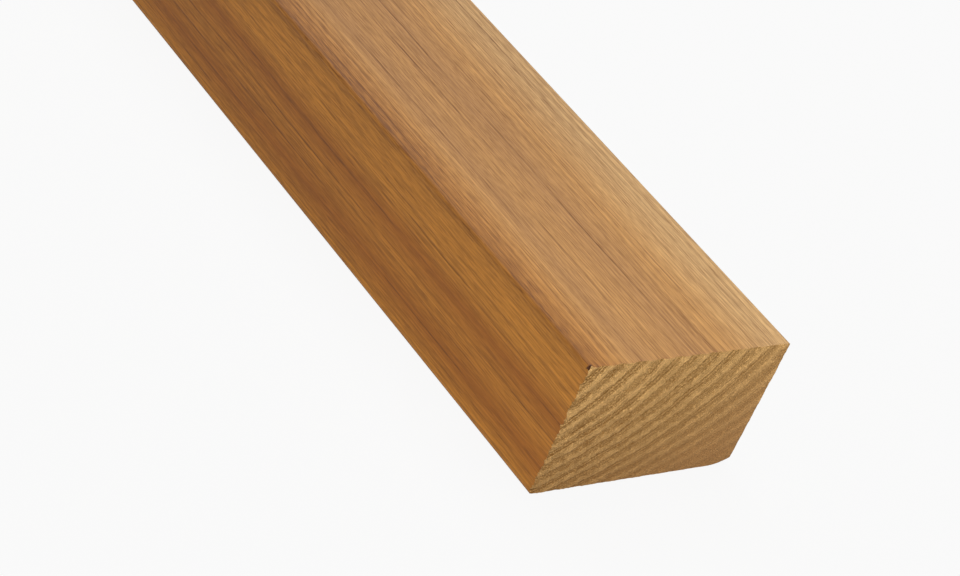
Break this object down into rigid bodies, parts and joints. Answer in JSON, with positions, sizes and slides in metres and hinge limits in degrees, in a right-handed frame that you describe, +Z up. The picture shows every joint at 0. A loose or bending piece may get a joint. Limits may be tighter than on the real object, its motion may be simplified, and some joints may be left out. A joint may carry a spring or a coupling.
{
  "type": "sauna bench slat",
  "caption": "Straight planed softwood slat of solid rectangular section, with lightly rounded long edges and square-sawn ends, laid flat to make a sauna bench seat.",
  "frame": {"origin": "on the underside, at mid-length and mid-width", "axes": "+X along the grain towards the sawn end that shows in use, +Y across the seat face, +Z up out of the seat face"},
  "size_m": [1.8288, 0.0636, 0.0381],
  "materials": {
    "cedar": "planed, unfinished, sawn ends"
  },
  "bodies": {
    "root": {"slat": "cedar"}
  },
  "joints": []
}
